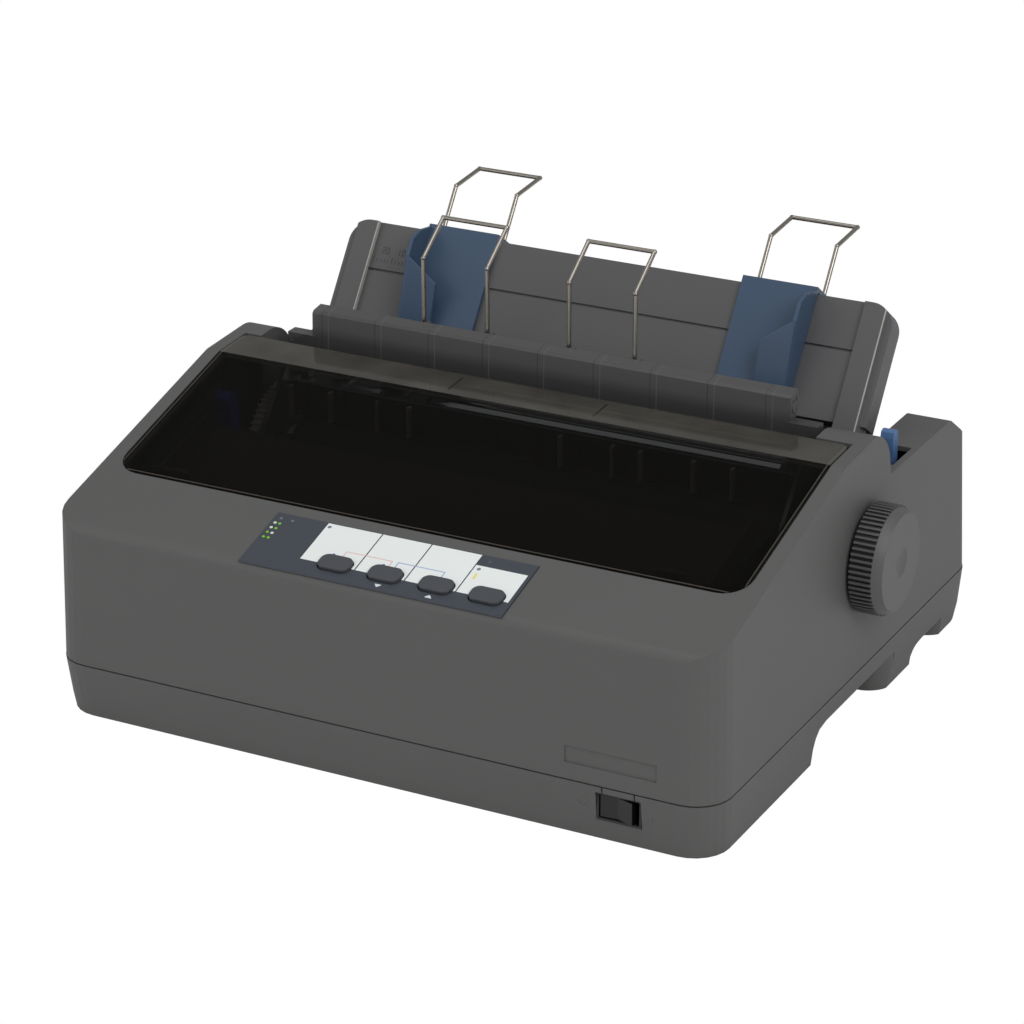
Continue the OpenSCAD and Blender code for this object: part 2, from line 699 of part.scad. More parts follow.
cartridge_arm = [122, 131];
module ribbon_cartridge() color("#242426") {
    difference() {
        union() {
            block(-cartridge_arm[1], cartridge_arm[1], -96, -70, 82, 96);
            for (s = [-1, 1]) translate([s * (cartridge_arm[0] + cartridge_arm[1]) / 2, 0, 0])
                block(-4.5, 4.5, -96, -3, 82, 94);
        }
        translate([-95, -83, 90]) cylinder(h = 10, r = 2.1);
    }
    // feet that stand on the side plates' front ends
    for (s = [-1, 1]) block(s * 133.4 - 2.6, s * 133.4 + 2.6, -90, -72, 82, 90);
    // inked ribbon between the arm tips
    block(-cartridge_arm[0], cartridge_arm[0], print_y - 1.7, print_y - 1.3, 75, 88);
    for (s = [-1, 1]) block(s * 126.5 - 4.5, s * 126.5 + 4.5, -3, print_y - 1.3, 75, 90);
}
module ribbon_knob() color("#3c4a5c") {
    translate([-95, -83, 90.2]) cylinder(h = 8, r = 2);
    translate([-95, -83, 97.6]) for (a = [0 : 30 : 150]) rotate(a) cube([13, 2, 2.4], center = true);
    translate([-95, -83, 96.4]) cylinder(h = 2, r = 6);
}

// ---- covers and paper handling ----

module smoked_cover() color("#26241f", 0.6) {
    difference() {
        union() {
            intersection() {
                translate([0, 0, 80]) linear_extrude(70) cover_plan(0);
                along_x(-half_w, body_w) polygon([[-120, slope_z(-120)], [bend_y, bend_z],
                    [20, crown_z - 0.05], [20, crown_z - 0.05 - cover_t],
                    [bend_y, bend_z - cover_t / cos(slope)], [-120, slope_z(-120) - cover_t / cos(slope)]]);
            }
            // hinge barrels
            for (s = [-1, 1]) rod_x(s * 153.4 - 3.4, s * 153.4 + 3.4, cover_axis, 2.3);
        }
        for (s = [-1, 1]) rod_x(s * 154 - 6, s * 154 + 6, cover_axis, 1.25);
        // the two short slits in the rear band
        for (x = [-36, 39]) block(x - 0.4, x + 0.4, -7, 8, bend_z - 0.2, bend_z + 3);
    }
    // stiffening rim, inside the ledge of the case
    intersection() {
        translate([0, 0, 80]) linear_extrude(70) difference() {
            cover_plan(-4);
            cover_plan(-6);
            translate([-half_w, -14]) square([body_w, 40]);
        }
        layer(1, 6.5, 0);
    }
}
module cover_inner_panel() color("#232220") on_slope() {
    difference() {
        translate([-140, 6, -12]) cube([280, 50, 1.6]);
        for (x = [-118, 118]) translate([x, 12, -13]) cylinder(h = 5, r = 3);
    }
    for (s = [-1, 1]) translate([s * 139 - 1, 6, -10.4]) cube([2, 50, 8.2]);
}

module hinge_pins() color("#b4b7b9") {
    for (s = [-1, 1]) {
        rod_x(s * 156 - 5.6, s * 156 + 5.6, cover_axis, 1.2);
        rod_x(s * 132 - 4, s * 132 + 4, tension_axis, 3);
        rod_x(s * 139.4 - 5, s * 139.4 + 5, support_axis, 1.6);
    }
    rod_x(-plate_x - 9, -plate_x, idler_axis, 2);
    rod_x(-plate_x - 16, -plate_x, thickness_axis, 2);
    rod_x(bay_half_w + 0.6, bay_half_w + 19, release_axis, 2);
}

tension_half = 124.8;
roller_axis = [25, 142.5];
block_half = 138.4;
module tension_unit() color("#4a4a4a") {
    difference() {
        union() {
            along_x(-tension_half, 2 * tension_half) difference() {
                polygon([[19.7, 126], [20.4, 148], [21.6, 149.2], [28.4, 150.2], [29, 149.6], [29, 140],
                    [27.2, 140], [27.2, 147.6], [22.9, 146.8], [22.2, 126]]);
            }
            for (s = [-1, 1]) block(s > 0 ? tension_half - 2 : -block_half,
                s > 0 ? block_half : -tension_half + 2, 19.8, 26.5, 126, 136.7);
            // end walls, inner ribs and the ears that turn on the pins
            for (x = concat([-tension_half + 1, tension_half - 1], [for (i = [-4 : 4]) 29 * i]))
                along_x(x - 0.7, 1.4) polygon([[21, 127], [21.4, 148], [28, 149.4], [28, 138],
                    [24, 130], [24, 127]]);
            for (s = [-1, 1]) along_x(s * 130 - 2, 4) polygon([[20, 113], [20, 130], [26, 130], [28, 113]]);
        }
        for (s = [-1, 1]) rod_x(s * 130 - 4, s * 130 + 4, tension_axis, 3.05);
        rod_x(-tension_half + 0.7, tension_half - 0.7, roller_axis, 1.65);
        for (s = [-1, 1]) rod_x(s * block_half - 4, s * block_half + 4, [22.8, 131.2], 1.6);
        for (x = wire_legs) translate([x, 31, 138]) cylinder(h = 20, r = wire_r + 0.02);
    }
    // round bosses over the roller's ends
    for (s = [-1, 1]) rod_x(s * tension_half - 0.35, s * tension_half + 0.35, roller_axis, 3);
    // rear sockets for the wires
    for (x = wire_legs) difference() {
        block(x - 2.6, x + 2.6, 28.9, 33.4, 140, 149);
        translate([x, 31, 138]) cylinder(h = 20, r = wire_r + 0.02);
    }
}
wire_middle = [-52.3, 24.7];
wire_legs = [for (c = wire_middle, s = [-1, 1]) c + s * wire_gap / 2];
module tension_wires() color("#b9b4ab") {
    for (c = wire_middle) wire([[c - wire_gap / 2, 31, 140.4], [c - wire_gap / 2, 31, 181.2],
        [c - wire_gap / 2, 51, 195.4], [c + wire_gap / 2, 51, 195.4],
        [c + wire_gap / 2, 31, 181.2], [c + wire_gap / 2, 31, 140.4]]);
}
module tension_rollers() color("#d5d2c8") {
    rod_x(-tension_half + 0.8, tension_half - 0.8, roller_axis, 1.6);
    for (i = [-4 : 3]) rod_x(29 * i + 11, 29 * i + 18, roller_axis, 1.8);
}

support_len = 61.8;
field_w = 9.6;
module support_shape() {
    r = 11;
    translate([-support_half_w, 3]) square([2 * support_half_w, support_len - 3 - r]);
    translate([r - support_half_w, 3]) square([2 * (support_half_w - r), support_len - 3]);
    for (x = [-1, 1]) translate([x * (support_half_w - r), support_len - r]) circle(r = r);
}
module paper_support() color("#565657") on_support() {
    difference() {
        union() {
            // plate
            translate([0, 0, -2.5]) linear_extrude(field_w + 2.5) support_shape();
            // raised side rims
            for (s = [-1, 1]) intersection() {
                translate([0, 0, -2.5]) linear_extrude(14.5) support_shape();
                rotate([-90, 0, 0]) translate([0, 0, 2]) linear_extrude(support_len) polygon([
                    [s * 129.3, 2.5], [s * support_half_w, 2.5], [s * support_half_w, -2.4],
                    [s * 140.6, -12], [s * 129.3, -12]]);
            }
            // skirts of the rims, in front of the hinge ears
            for (s = [-1, 1]) rotate([-90, 0, 0]) translate([0, 0, -8]) linear_extrude(12) polygon([
                [s * 129.3, -4], [s * 143.4, -4], [s * 140.6, -12], [s * 129.3, -12]]);
            // narrow foot with the hinge ends
            translate([-135, -3.5, -2.5]) cube([270, 8, 5]);
            for (s = [-1, 1]) translate([s * 136.7, 0, 0]) rotate([0, 90, 0])
                cylinder(h = 6, r = 3.6, center = true);
            for (s = [-1, 1]) translate([s * 136.7 - 3, 0, -2.5]) cube([6, 5, 5.7]);
        }
        // cross seam in front and the pocket in the back
        translate([-129.3, 37, field_w - 1]) cube([258.6, 1.2, 5]);
        for (s = [-1, 1]) translate([s * 138, 0, 0]) rotate([0, 90, 0])
            cylinder(h = 16, r = 1.65, center = true);
        translate([-126, 6, -4]) cube([252, support_len - 16, field_w + 1.2]);
    }
}

// one edge guide, as seen on the right, with its channel moved inwards by d; the left one is a mirror
module edge_guide(d) {
    on_support() difference() {
        union() {
            translate([66.5 - d, -3, field_w + 0.3]) cube([38.3, support_len + 5.9, 2]);
            translate([66.5 - d, support_len + 0.6, -6.2]) cube([38.3, 2.3, field_w + 8.5]);
            // side wall, and the flap that reaches over the sheet's edge
            translate([103 - d, 0, 0]) rotate([90, 0, 90]) linear_extrude(1.8) polygon([[-3, field_w + 0.3],
                [-3, 13.4], [15, 18], [36, 24], [43, 27], [52, 27], [58, 22], [62.6, 13],
                [support_len + 2.9, field_w + 0.3]]);
            hull() for (c = [[103.4, -3, 11.6], [103.4, 42.4, 25.2], [87.4, 32, 20.4], [87.4, -3, 10]])
                translate([c[0] - d, c[1], c[2]]) cube([0.8, 0.8, 1.6]);
            // rear tongue that holds the wire
            translate([66.5 - d, support_len - 9, -6.2]) cube([38.3 + d, 11.9, 3.3]);
        }
        for (s = [-1, 1]) translate([85.2 + s * wire_gap / 2, 40, -4.4]) rotate([-90, 0, 0])
            cylinder(h = 40, r = wire_r + 0.02);
    }
}
module guide_right() color("#42566b") edge_guide(0);
module guide_left() color("#42566b") mirror([1, 0, 0]) edge_guide(3);
module guide_wire() {
    on_support() {
        x0 = 85.2 - wire_gap / 2;
        x1 = 85.2 + wire_gap / 2;
        wire([[x0, support_len - 8, -4.4], [x0, 90, -4.4], [x0, 106, -23.5], [x1, 106, -23.5],
            [x1, 90, -4.4], [x1, support_len - 8, -4.4]]);
    }
}
module guide_wire_right() color("#b9b4ab") guide_wire();
module guide_wire_left() color("#b9b4ab") mirror([1, 0, 0]) guide_wire();

module release_lever() color("#5f7ea6") difference() {
    union() {
        along_x(150.6, 6.4) polygon([[64, 78], [66, 96], [66, 118], [66.6, 120.6], [69, 121.4], [71.4, 120.6],
            [72, 118], [72, 96], [72, 78]]);
        rod_x(148.5, 160, release_axis, 5);
    }
    rod_x(140, 170, release_axis, 2.05);
}
module thickness_lever() color("#27335c") difference() {
    union() {
        along_x(-149, 7) polygon([[-30, 82], [-28, 100],
            [-30, 117.6], [-27, 120.4], [-22, 118.6], [-20, 100], [-18, 82]]);
        rod_x(-149, -136.6, thickness_axis, 4);
    }
    rod_x(-150, -135, thickness_axis, 2.05);
}

module placed() translate(shift) children();

placed() lower_case();
placed() upper_case();
placed() rubber_feet();
placed() case_screws();
placed() chassis_plate();
placed() side_plate_left();
placed() side_plate_right();
placed() platen_bushes();
placed() guide_shafts();
placed() carriage_rail();
placed() paper_guide();
placed() rear_tray();
placed() feed_motor();
placed() carriage_motor();
placed() drive_belt();
placed() main_board();
placed() power_supply();
placed() ac_inlet();
placed() interface_ports();
placed() panel_board();
placed() panel_overlay();
placed() status_lights();
placed() switch_housing();
placed() hinge_pins();
placed() ribbon_cartridge();
placed() platen_roller();
placed() platen_shaft();
placed() platen_gear();
placed() paper_knob();
placed() feed_pinion();
placed() idler_gear();
placed() tractor_shaft();
placed() tractor_left();
placed() tractor_right();
placed() sprocket_left();
placed() sprocket_right();
placed() tractor_lid_left();
placed() tractor_lid_right();
placed() print_carriage();
placed() print_head();
placed() belt_drive_pulley();
placed() belt_idler_pulley();
placed() ribbon_knob();
placed() smoked_cover();
placed() cover_inner_panel();
placed() tension_unit();
placed() tension_wires();
placed() tension_rollers();
placed() paper_support();
placed() guide_left();
placed() guide_right();
placed() guide_wire_left();
placed() guide_wire_right();
placed() release_lever();
placed() thickness_lever();
placed() button_1();
placed() button_2();
placed() button_3();
placed() button_4();
placed() power_rocker();
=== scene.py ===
import math

import bmesh
import bpy
from mathutils import Matrix, Vector


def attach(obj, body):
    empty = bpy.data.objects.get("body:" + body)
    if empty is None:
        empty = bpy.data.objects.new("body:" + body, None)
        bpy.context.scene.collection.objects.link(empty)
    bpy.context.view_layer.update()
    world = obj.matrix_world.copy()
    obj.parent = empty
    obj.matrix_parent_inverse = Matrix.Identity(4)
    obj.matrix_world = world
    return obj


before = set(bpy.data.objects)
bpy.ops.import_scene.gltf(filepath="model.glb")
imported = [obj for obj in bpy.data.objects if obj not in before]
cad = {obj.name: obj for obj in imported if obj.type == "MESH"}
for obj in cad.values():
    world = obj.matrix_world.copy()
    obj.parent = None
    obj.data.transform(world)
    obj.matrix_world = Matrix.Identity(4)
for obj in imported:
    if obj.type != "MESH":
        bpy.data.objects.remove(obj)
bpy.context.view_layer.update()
scene = bpy.context.scene
scene.view_settings.view_transform = "Standard"

# Camera: stands to the right of the front and looks down a little, with a long lens.
eye = bpy.data.objects.new("camera", bpy.data.cameras.new("camera"))
scene.collection.objects.link(eye)
scene.camera = eye
eye.data.sensor_width = 36
eye.data.lens = 126.31
eye.data.clip_start = 0.1
eye.data.clip_end = 30
eye.matrix_world = (
    Matrix.Translation((0.70610, -1.37338, 0.73400))
    @ Matrix.Rotation(math.radians(27.689), 4, "Z")
    @ Matrix.Rotation(math.radians(90 - 23.036), 4, "X")
    @ Matrix.Rotation(math.radians(-0.242), 4, "Z")
)


# ---- small tools ----
# Everything is written in millimetres about the case's own middle, and PLACE takes it to
# the row frame in metres.
MM = 0.001
CASE_SHIFT = (-7.65, -1, 0)
PLACE = Matrix.Scale(MM, 4) @ Matrix.Translation(CASE_SHIFT)
SLOPE_DEG = 15.535
SLOPE_FOOT = (0, -105, 107.453)
SLOPE = PLACE @ Matrix.Translation(SLOPE_FOOT) @ Matrix.Rotation(math.radians(SLOPE_DEG), 4, "X")
SUPPORT = PLACE @ Matrix.Translation((0, 68.5, 114.5)) @ Matrix.Rotation(math.radians(54.5), 4, "X")


def linear(code):
    """An sRGB hex colour as linear red, green, blue and alpha."""
    parts = [int(code[i : i + 2], 16) / 255 for i in (1, 3, 5)]
    return tuple(c / 12.92 if c <= 0.04045 else ((c + 0.055) / 1.055) ** 2.4 for c in parts) + (1,)


def add(tree, kind, settings=None, **inputs):
    """Adds one shader or geometry node; a socket is linked and anything else is set as its value."""
    node = tree.nodes.new(kind)
    for key, value in (settings or {}).items():
        setattr(node, key, value)
    for key, value in inputs.items():
        socket = node.inputs[int(key[1:])] if key[1:].isdigit() else node.inputs[key.replace("_", " ")]
        if isinstance(value, bpy.types.NodeSocket):
            tree.links.new(value, socket)
        else:
            socket.default_value = value
    return node


def row_x(x):
    """A case coordinate in millimetres as a row coordinate in metres, along X."""
    return (x + CASE_SHIFT[0]) * MM


def row_y(y):
    """The same along Y."""
    return (y + CASE_SHIFT[1]) * MM


def start(name):
    """An empty material with its shader, and where each point lies in the row frame."""
    made = bpy.data.materials.new(name)
    made.use_nodes = True
    tree = made.node_tree
    spot = add(tree, "ShaderNodeTexCoord").outputs["Object"]
    return made, tree, tree.nodes["Principled BSDF"], spot


def mixed(tree, factor, a, b):
    """Colour a where the factor is 0 and colour b where it is 1."""
    n = add(tree, "ShaderNodeMix", {"data_type": "RGBA"})
    for socket, value in ((n.inputs[0], factor), (n.inputs[6], a), (n.inputs[7], b)):
        if isinstance(value, bpy.types.NodeSocket):
            tree.links.new(value, socket)
        else:
            socket.default_value = value
    return n.outputs[2]


def finish_surface(tree, shader, spot, colour, rough, grain, depth, vary, edge):
    """Cloudy tone, uneven gloss, a fine moulded grain and softly broken edges."""
    cloud = add(tree, "ShaderNodeTexNoise", Vector=spot, Scale=22.0, Detail=3.0)
    low = tuple(c * (1 - vary) for c in colour[:3]) + (1,)
    high = tuple(min(1, c * (1 + vary)) for c in colour[:3]) + (1,)
    tone = mixed(tree, cloud.outputs["Fac"], low, high)
    tree.links.new(tone, shader.inputs["Base Color"])
    gloss = add(tree, "ShaderNodeMapRange", Value=cloud.outputs["Fac"], To_Min=rough * 0.93,
                To_Max=min(1, rough * 1.07))
    tree.links.new(gloss.outputs["Result"], shader.inputs["Roughness"])
    fine = add(tree, "ShaderNodeTexNoise", Vector=spot, Scale=1000 / grain, Detail=2.0)
    round_edge = add(tree, "ShaderNodeBevel", {"samples": 4}, Radius=edge * MM)
    relief = add(tree, "ShaderNodeBump", Height=fine.outputs["Fac"], Distance=depth * MM, Strength=1.0,
                 Normal=round_edge.outputs[0])
    tree.links.new(relief.outputs[0], shader.inputs["Normal"])
    return tone


def plastic(name, code, rough=0.5, grain=0.5, depth=0.02, vary=0.05, edge=0.4, ior=1.49):
    made, tree, shader, spot = start(name)
    finish_surface(tree, shader, spot, linear(code), rough, grain, depth, vary, edge)
    shader.inputs["IOR"].default_value = ior
    return made


def metal(name, code, rough=0.3, grain=0.3, depth=0.004, along=None, edge=0.2):
    """Bare or plated metal; along gives the direction in which it was drawn or ground."""
    made, tree, shader, spot = start(name)
    if along:
        spot = add(tree, "ShaderNodeMapping", Vector=spot, Scale=along).outputs[0]
    finish_surface(tree, shader, spot, linear(code), rough, grain, depth, 0.08, edge)
    shader.inputs["Metallic"].default_value = 1.0
    return made


def clear(name, code, rough, alpha, edge=0.3, vary=0.05):
    """Smoked plastic, partly see-through."""
    made, tree, shader, spot = start(name)
    finish_surface(tree, shader, spot, linear(code), rough, 3.0, 0.002, vary, edge)
    shader.inputs["IOR"].default_value = 1.49
    shader.inputs["Alpha"].default_value = alpha
    return made


def within(tree, value, middle, half):
    """1 where value lies within half of middle."""
    return add(tree, "ShaderNodeMath", {"operation": "COMPARE"}, _0=value, _1=middle, _2=half).outputs[0]


def reckon(tree, operation, a, b):
    """One sum or comparison of two values."""
    return add(tree, "ShaderNodeMath", {"operation": operation}, _0=a, _1=b).outputs[0]


def both(tree, a, b):
    """1 where both masks are 1."""
    return reckon(tree, "MULTIPLY", a, b)


def either(tree, a, b):
    """1 where at least one mask is 1."""
    return reckon(tree, "MAXIMUM", a, b)


def below(tree, value, limit):
    return reckon(tree, "LESS_THAN", value, limit)


def above(tree, value, limit):
    return reckon(tree, "GREATER_THAN", value, limit)


def distance_squared(tree, x, y, cx, cy):
    """The squared distance from a centre given in metres."""
    dx = reckon(tree, "SUBTRACT", x, cx)
    dy = reckon(tree, "SUBTRACT", y, cy)
    return reckon(tree, "ADD", reckon(tree, "MULTIPLY", dx, dx), reckon(tree, "MULTIPLY", dy, dy))


def rect(tree, x, y, x0, x1, y0, y1):
    """1 inside a rectangle given in millimetres."""
    return both(tree, within(tree, x, (x0 + x1) / 2 * MM, (x1 - x0) / 2 * MM),
                within(tree, y, (y0 + y1) / 2 * MM, (y1 - y0) / 2 * MM))


def disc(tree, x, y, cx, cy, r):
    """1 inside a circle given in millimetres."""
    return below(tree, distance_squared(tree, x, y, cx * MM, cy * MM), (r * MM) ** 2)


def block(bm, x0, x1, y0, y1, z0, z1, frame_to=PLACE):
    """A box between two corners."""
    made = bmesh.ops.create_cube(bm, size=1)["verts"]
    for v in made:
        at = v.co
        v.co = frame_to @ Vector((x0 if at.x < 0 else x1, y0 if at.y < 0 else y1, z0 if at.z < 0 else z1))


def tube(bm, a, b, r, sides=24, r2=None, frame_to=PLACE):
    """A closed cylinder or cone from a to b."""
    a, b = Vector(a), Vector(b)
    turn = Vector((0, 0, 1)).rotation_difference(b - a).to_matrix().to_4x4()
    bmesh.ops.create_cone(bm, cap_ends=True, segments=sides, radius1=r, radius2=r if r2 is None else r2,
                          depth=(b - a).length, matrix=frame_to @ Matrix.Translation((a + b) / 2) @ turn)


def ring(bm, centre, axis, r, thick, frame_to=PLACE, sides=40):
    """A flat-sided ring round an axis."""
    turn = Vector((0, 0, 1)).rotation_difference(Vector(axis)).to_matrix().to_4x4()
    place = frame_to @ Matrix.Translation(centre) @ turn
    loops = []
    for i in range(sides):
        a = 2 * math.pi * i / sides
        loops.append([bm.verts.new(place @ Vector(((r + u) * math.cos(a), (r + u) * math.sin(a), w)))
                      for u, w in ((-thick, -thick), (thick, -thick), (thick, thick), (-thick, thick))])
    for i in range(sides):
        p, q = loops[i], loops[(i + 1) % sides]
        for k in range(4):
            bm.faces.new((p[k], q[k], q[(k + 1) % 4], p[(k + 1) % 4]))


def piece(name, body, material, build):
    """Builds one mesh object, faces outward, and lets it ride on a CAD body."""
    bm = bmesh.new()
    build(bm)
    bmesh.ops.recalc_face_normals(bm, faces=bm.faces)
    for f in bm.faces:
        f.smooth = True
    for e in bm.edges:
        e.smooth = len(e.link_faces) == 2 and e.calc_face_angle(0) < math.radians(35)
    mesh = bpy.data.meshes.new(name)
    bm.to_mesh(mesh)
    bm.free()
    mesh.materials.append(material)
    made = bpy.data.objects.new(name, mesh)
    scene.collection.objects.link(made)
    if body:
        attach(made, body)
    return made


def repeat_group():
    """Copies an item to every point of a mesh, turned by the named rotation, as real geometry."""
    group = bpy.data.node_groups.new("repeat", "GeometryNodeTree")
    for label, kind in (("Geometry", "Geometry"), ("Item", "Object"), ("Turn", "Rotation"),
                        ("Finish", "Material")):
        group.interface.new_socket(label, in_out="INPUT", socket_type="NodeSocket" + kind)
    group.interface.new_socket("Geometry", in_out="OUTPUT", socket_type="NodeSocketGeometry")
    source = group.nodes.new("NodeGroupInput").outputs
    item = add(group, "GeometryNodeObjectInfo", Object=source["Item"])
    copies = add(group, "GeometryNodeInstanceOnPoints", Points=source["Geometry"],
                 Instance=item.outputs["Geometry"], Rotation=source["Turn"])
    real = add(group, "GeometryNodeRealizeInstances", Geometry=copies.outputs[0])
    done = add(group, "GeometryNodeSetMaterial", Geometry=real.outputs[0], Material=source["Finish"])
    out = group.nodes.new("NodeGroupOutput")
    group.links.new(done.outputs[0], out.inputs[0])
    return group


REPEAT = repeat_group()


def repeat(name, body, material, spots, turn, build):
    """Repeats a small item, built about the origin in millimetres, at many places of one body."""
    item = piece(name + "_item", None, material, build)
    mesh = bpy.data.meshes.new(name)
    mesh.from_pydata([PLACE @ Vector(s) for s in spots], [], [])
    carrier = bpy.data.objects.new(name + "_points", mesh)
    scene.collection.objects.link(carrier)
    copies = carrier.modifiers.new("repeat", "NODES")
    copies.node_group = REPEAT
    keys = {s.name: s.identifier for s in REPEAT.interface.items_tree if s.in_out == "INPUT"}
    copies[keys["Item"]] = item
    copies[keys["Turn"]] = [math.radians(a) for a in turn]
    copies[keys["Finish"]] = material
    bpy.context.view_layer.update()
    seen = carrier.evaluated_get(bpy.context.evaluated_depsgraph_get())
    made = bpy.data.objects.new(name, bpy.data.meshes.new_from_object(seen))
    made.data.materials.clear()
    made.data.materials.append(material)
    for f in made.data.polygons:
        f.material_index = 0
    scene.collection.objects.link(made)
    bpy.data.objects.remove(carrier)
    bpy.data.objects.remove(item)
    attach(made, body)
    return made


SMALL = Matrix.Scale(MM, 4)


def screw_head(bm):
    """A pan head with a cross cut in it, facing up."""
    tube(bm, (0, 0, 0), (0, 0, 1.0), 2.4, 20, 2.1, SMALL)
    tube(bm, (0, 0, 1.0), (0, 0, 1.5), 2.1, 20, 1.2, SMALL)
    block(bm, -1.5, 1.5, -0.28, 0.28, 1.3, 1.56, SMALL)
    block(bm, -0.28, 0.28, -1.5, 1.5, 1.3, 1.56, SMALL)


# ---- materials ----

# Case plastic: charcoal grey with a fine spark-eroded texture.
case_grey = plastic("case_grey", "#575756", 0.55, 0.45, 0.02, 0.04, 0.5)
tray_grey = plastic("tray_grey", "#38383a", 0.55, 0.5, 0.02)
rubber = plastic("rubber", "#1c1c1c", 0.75, 0.8, 0.03, 0.12, 0.5, 1.52)
platen_rubber = plastic("platen_rubber", "#1d1d1f", 0.62, 0.25, 0.008, 0.1, 0.3, 1.52)
black = plastic("black", "#1f1f22", 0.42, 0.5, 0.012, 0.06, 0.3)
black_dull = plastic("black_dull", "#2a2a2c", 0.55, 0.5, 0.015, 0.06, 0.3)
button_grey = plastic("button_grey", "#45484d", 0.42, 0.45, 0.01, 0.04, 1.2)
rocker_black = plastic("rocker_black", "#0f0f10", 0.22, 0.8, 0.004, 0.05, 0.4)
natural = plastic("natural", "#e4dfd2", 0.38, 0.6, 0.008, 0.04, 0.2, 1.48)
guide_blue = plastic("guide_blue", "#3b5068", 0.42, 0.45, 0.012, 0.05, 0.4)
lever_blue = plastic("lever_blue", "#5273a0", 0.4, 0.45, 0.012, 0.05, 0.4)
navy = plastic("navy", "#3a4fb0", 0.4, 0.45, 0.012, 0.05, 0.4)
lamp_plastic = plastic("lamp_plastic", "#e8efe6", 0.2, 2.0, 0.002, 0.02, 0.3, 1.55)
film = plastic("film", "#f2f0ea", 0.6, 0.4, 0.004, 0.02, 0.1)
steel = metal("steel", "#b9bcbe", 0.34, 0.5, 0.004, (3, 30, 30))
shaft_steel = metal("shaft_steel", "#d0d3d5", 0.14, 0.3, 0.002, (2, 40, 40))
screw_steel = metal("screw_steel", "#c3c5c6", 0.26, 0.4, 0.003)
wire_nickel = metal("wire_nickel", "#a39e95", 0.28, 4.0, 0.0004, None, 0)
brass = metal("brass", "#d2b468", 0.28, 0.4, 0.003, (30, 3, 3))
alloy = metal("alloy", "#8d9094", 0.42, 0.8, 0.015)
copper = metal("copper", "#b9683b", 0.34, 0.35, 0.02, (40, 4, 4))


# Paper knob: painted shade darkens the roots of the grooves between its grip ribs.
def knob_material():
    made, tree, shader, spot = start("knob")
    axes = add(tree, "ShaderNodeSeparateXYZ", Vector=spot)
    hub = PLACE @ Vector((167.8, 15, 81.3))
    root_r, root_half, grip_len = 24.6 * MM, 0.42 * MM, 10.4 * MM
    away = distance_squared(tree, axes.outputs["Y"], axes.outputs["Z"], hub.y, hub.z)
    # painted shade: the roots of the grooves between the grip ribs, near-black on the grip band
    groove_shade = within(tree, away, root_r**2, 2 * root_r * root_half)
    band = below(tree, axes.outputs["X"], hub.x + grip_len)
    tone = finish_surface(tree, shader, spot, linear("#575757"), 0.5, 0.45, 0.015, 0.04, 0.35)
    tree.links.new(mixed(tree, both(tree, groove_shade, band), tone, linear("#161616")), shader.inputs["Base Color"])
    return made


knob = knob_material()


# Paper support: case grey, with painted highlight lines along the front edges of its two raised rims.
def support_material():
    made, tree, shader, spot = start("support_grey")
    local = add(tree, "ShaderNodeMapping", {"vector_type": "TEXTURE"}, Vector=spot,
                Location=SUPPORT.to_translation(), Rotation=SUPPORT.to_euler())
    axes = add(tree, "ShaderNodeSeparateXYZ", Vector=local.outputs[0])
    front = above(tree, axes.outputs["Z"], 9.8 * MM)
    # painted highlight: a thin bright line along each raised rim's front edge
    painted_line = either(tree, within(tree, axes.outputs["X"], 140.4 * MM, 0.3 * MM),
                  within(tree, axes.outputs["X"], -129.6 * MM, 0.3 * MM))
    tone = finish_surface(tree, shader, spot, linear("#555556"), 0.5, 0.45, 0.018, 0.04, 0.5)
    tree.links.new(mixed(tree, both(tree, painted_line, front), tone, linear("#aaa8a2")), shader.inputs["Base Color"])
    return made


support_grey = support_material()


def board_material(name, code, track):
    """Circuit board: solder mask over a net of copper tracks, with dots for the joints."""
    made, tree, shader, spot = start(name)
    tracks = add(tree, "ShaderNodeTexBrick", Vector=spot, Scale=160.0, Mortar_Size=0.05,
                 Color1=(0, 0, 0, 1), Color2=(0.15, 0.15, 0.15, 1), Mortar=(1, 1, 1, 1))
    joints = add(tree, "ShaderNodeTexVoronoi", Vector=spot, Scale=330.0)
    dots = below(tree, joints.outputs["Distance"], 0.16)
    tone = finish_surface(tree, shader, spot, linear(code), 0.35, 0.6, 0.006, 0.08, 0.2)
    lined = mixed(tree, tracks.outputs["Fac"], tone, linear(track))
    tree.links.new(mixed(tree, dots, lined, linear("#b9bbb6")), shader.inputs["Base Color"])
    return made


board_green = board_material("board_green", "#1f5a3a", "#2f7a4e")
board_brown = board_material("board_brown", "#8a6d42", "#a07f50")


# Motor: plated stack with fine lamination lines between two plain end bells.
def motor_material():
    made, tree, shader, spot = start("motor_metal")
    wave = add(tree, "ShaderNodeTexWave", {"wave_type": "BANDS", "bands_direction": "DIAGONAL"}, Vector=spot,
               Scale=380.0)
    tone = finish_surface(tree, shader, spot, linear("#a5a8aa"), 0.36, 0.5, 0.006, 0.06, 0.4)
    tree.links.new(mixed(tree, wave.outputs["Fac"], tone, linear("#8b8e90")), shader.inputs["Base Color"])
    shader.inputs["Metallic"].default_value = 1.0
    return made


motor_metal = motor_material()
